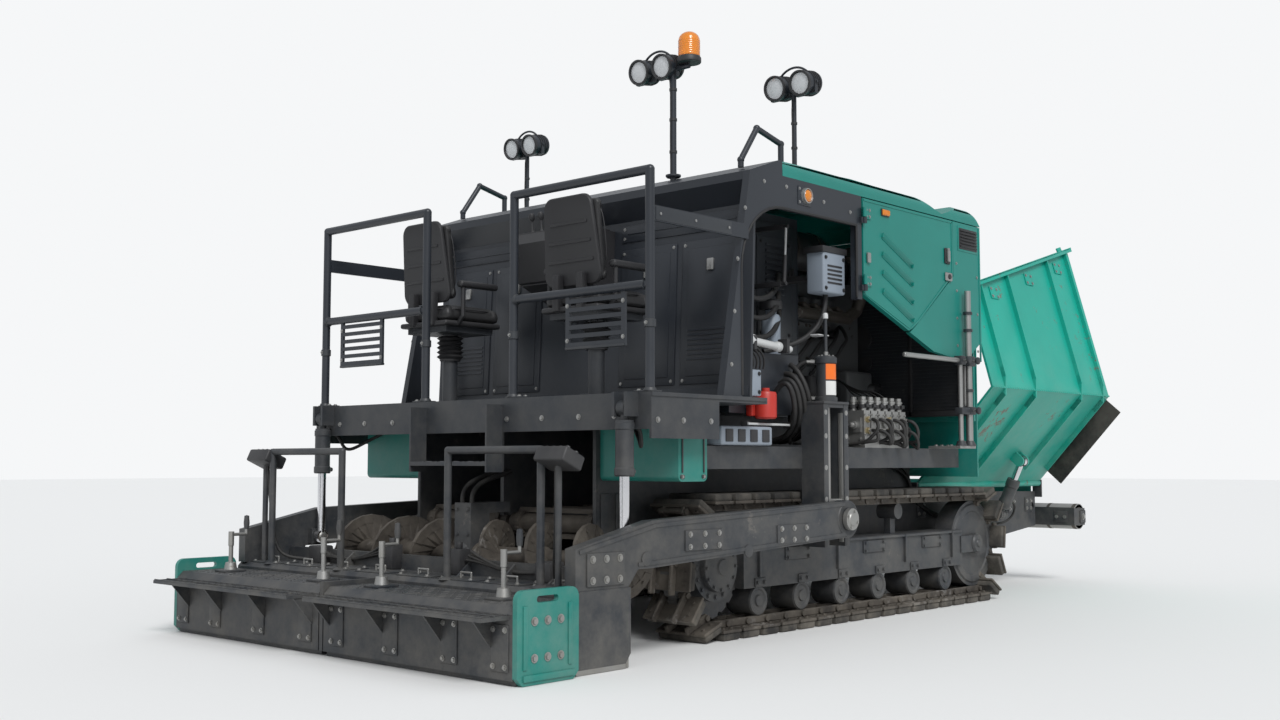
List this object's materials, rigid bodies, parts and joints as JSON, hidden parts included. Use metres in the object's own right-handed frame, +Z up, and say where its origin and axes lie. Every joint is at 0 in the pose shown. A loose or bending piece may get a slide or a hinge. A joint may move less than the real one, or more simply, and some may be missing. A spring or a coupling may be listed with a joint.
{
  "type": "tracked asphalt paver",
  "caption": "Tracked asphalt paver with folding hopper wings, side doors, open operator's platform with rear guard rails, lamp masts, augers and a towed extending screed.",
  "frame": {"origin": "on the ground below the middle of the machine's box", "axes": "+X forwards to the hopper, +Y to the machine's left, +Z up"},
  "size_m": [6, 2.55, 3.0758],
  "materials": {
    "teal_paint": "semi-gloss, worn",
    "dark_paint": "satin, worn",
    "track_steel": "rough, dusty",
    "rod_chrome": "polished",
    "bare_steel": "brushed, stained",
    "engine_iron": "matt",
    "black_plastic": "matt",
    "seat_cover": "matt",
    "amber_lens": "glossy"
  },
  "bodies": {
    "tractor": {"chassis": "dark_paint", "frame_plates": "dark_paint", "conveyor_deck": "dark_paint", "front_beam": "dark_paint", "track_left": "track_steel", "track_right": "track_steel", "track_frame_left": "dark_paint", "track_frame_right": "dark_paint", "engine": "engine_iron", "cabinet": "dark_paint", "side_deck": "dark_paint", "bonnet": "teal_paint", "bonnet_front": "teal_paint", "cowl": "dark_paint", "console": "black_plastic", "floor": "dark_paint", "tanks": "teal_paint", "ladders": "dark_paint", "guard_rail": "dark_paint", "lamp_masts": "dark_paint", "beacon_mast": "dark_paint", "beacon": "amber_lens", "exhaust": "bare_steel", "valve_block": "bare_steel", "guide_rods": "bare_steel", "hopper_wall": "teal_paint", "conveyor_left": "track_steel", "conveyor_right": "track_steel", "levelling_rams": "dark_paint", "auger_hanger": "dark_paint"},
    "tow_blocks": {"tow_blocks": "bare_steel"},
    "screed": {"tow_arms": "dark_paint", "screed_frame": "dark_paint", "screed_plates": "bare_steel", "screed_rails": "dark_paint"},
    "lift_barrels": {"lift_barrels": "dark_paint"},
    "lift_rods": {"lift_rods": "rod_chrome"},
    "push_bar": {"push_bar": "dark_paint"},
    "door_left": {"side_door_left": "teal_paint"},
    "seat_swivel_left": {"seat_post_left": "dark_paint", "seat_left": "seat_cover"},
    "wing_left": {"wing_left": "teal_paint"},
    "wing_barrel_left": {"wing_barrel_left": "dark_paint"},
    "wing_rod_left": {"wing_rod_left": "rod_chrome"},
    "push_roller_left": {"push_roller_left": "bare_steel"},
    "extension_left": {"extension_left": "dark_paint", "end_gate_left": "teal_paint"},
    "auger_left": {"auger_left": "track_steel"},
    "door_right": {"side_door_right": "teal_paint"},
    "seat_swivel_right": {"seat_post_right": "dark_paint", "seat_right": "seat_cover"},
    "wing_right": {"wing_right": "teal_paint"},
    "wing_barrel_right": {"wing_barrel_right": "dark_paint"},
    "wing_rod_right": {"wing_rod_right": "rod_chrome"},
    "push_roller_right": {"push_roller_right": "bare_steel"},
    "extension_right": {"extension_right": "dark_paint", "end_gate_right": "teal_paint"},
    "auger_right": {"auger_right": "track_steel"}
  },
  "joints": [
    {"name": "door_left", "type": "hinge", "parent": "tractor", "child": "door_left", "pos_m": [-0.346, 1.216, 2], "axis": [0, 0, 1], "range_deg": [0, 100]},
    {"name": "seat_swivel_left", "type": "hinge", "parent": "tractor", "child": "seat_swivel_left", "pos_m": [-1.69, 0.55, 1.5], "axis": [0, 0, 1], "range_deg": [0, 90]},
    {"name": "wing_fold_left", "type": "hinge", "parent": "tractor", "child": "wing_left", "pos_m": [1.835, 0.69, 0.7], "axis": [1, 0, 0], "range_deg": [-28, 20]},
    {"name": "wing_barrel_tilt_left", "type": "hinge", "parent": "tractor", "child": "wing_barrel_left", "pos_m": [2, 0.74, 0.5], "axis": [1, 0, 0], "range_deg": [-17, 12]},
    {"name": "wing_rod_stroke_left", "type": "slide", "parent": "wing_barrel_left", "child": "wing_rod_left", "axis": [0, 0.4137, 0.9104], "range_m": [-0.067, 0.048]},
    {"name": "push_roller_left", "type": "hinge", "parent": "push_bar", "child": "push_roller_left", "pos_m": [2.91, 0.472, 0.46], "axis": [0, 1, 0], "continuous": true},
    {"name": "extension_left", "type": "slide", "parent": "screed", "child": "extension_left", "axis": [0, 1, 0], "range_m": [0, 0.9]},
    {"name": "auger_left", "type": "hinge", "parent": "tractor", "child": "auger_left", "pos_m": [-1.995, 0.56, 0.4], "axis": [0, 1, 0], "continuous": true},
    {"name": "door_right", "type": "hinge", "parent": "tractor", "child": "door_right", "pos_m": [-0.346, -1.216, 2], "axis": [0, 0, -1], "range_deg": [0, 100]},
    {"name": "seat_swivel_right", "type": "hinge", "parent": "tractor", "child": "seat_swivel_right", "pos_m": [-1.69, -0.55, 1.5], "axis": [0, 0, -1], "range_deg": [0, 90]},
    {"name": "wing_fold_right", "type": "hinge", "parent": "tractor", "child": "wing_right", "pos_m": [1.835, -0.69, 0.7], "axis": [-1, 0, 0], "range_deg": [-28, 20]},
    {"name": "wing_barrel_tilt_right", "type": "hinge", "parent": "tractor", "child": "wing_barrel_right", "pos_m": [2, -0.74, 0.5], "axis": [-1, 0, 0], "range_deg": [-17, 12]},
    {"name": "wing_rod_stroke_right", "type": "slide", "parent": "wing_barrel_right", "child": "wing_rod_right", "axis": [0, -0.4137, 0.9104], "range_m": [-0.067, 0.048]},
    {"name": "push_roller_right", "type": "hinge", "parent": "push_bar", "child": "push_roller_right", "pos_m": [2.91, -0.472, 0.46], "axis": [0, 1, 0], "continuous": true},
    {"name": "extension_right", "type": "slide", "parent": "screed", "child": "extension_right", "axis": [0, -1, 0], "range_m": [0, 0.9]},
    {"name": "auger_right", "type": "hinge", "parent": "tractor", "child": "auger_right", "pos_m": [-1.995, -0.56, 0.4], "axis": [0, 1, 0], "continuous": true},
    {"name": "push_bar_swing", "type": "hinge", "parent": "tractor", "child": "push_bar", "pos_m": [2.72, 0, 0.46], "axis": [0, 0, 1], "range_deg": [-6, 6]},
    {"name": "tow_point_lift", "type": "slide", "parent": "tractor", "child": "tow_blocks", "axis": [0, 0, 1], "range_m": [0, 0.1]},
    {"name": "screed_lift", "type": "hinge", "parent": "tow_blocks", "child": "screed", "pos_m": [-0.58, 0, 0.56], "axis": [0, 1, 0], "range_deg": [0, 7]},
    {"name": "lift_barrel_tilt", "type": "hinge", "parent": "tractor", "child": "lift_barrels", "pos_m": [-2.1, 0, 1.08], "axis": [0, 1, 0], "range_deg": [0, 0.5]},
    {"name": "lift_rod_stroke", "type": "slide", "parent": "lift_barrels", "child": "lift_rods", "axis": [0, 0, -1], "range_m": [-0.188, 0]}
  ],
  "couplings": [
    {"joint": "wing_barrel_tilt_left", "follows": "wing_fold_left", "ratio": 0.59},
    {"joint": "wing_rod_stroke_left", "follows": "wing_fold_left", "m_per_rad": 0.134},
    {"joint": "wing_barrel_tilt_right", "follows": "wing_fold_right", "ratio": 0.59},
    {"joint": "wing_rod_stroke_right", "follows": "wing_fold_right", "m_per_rad": 0.134},
    {"joint": "lift_barrel_tilt", "follows": "screed_lift", "ratio": 0.07},
    {"joint": "lift_rod_stroke", "follows": "screed_lift", "m_per_rad": -1.523}
  ]
}
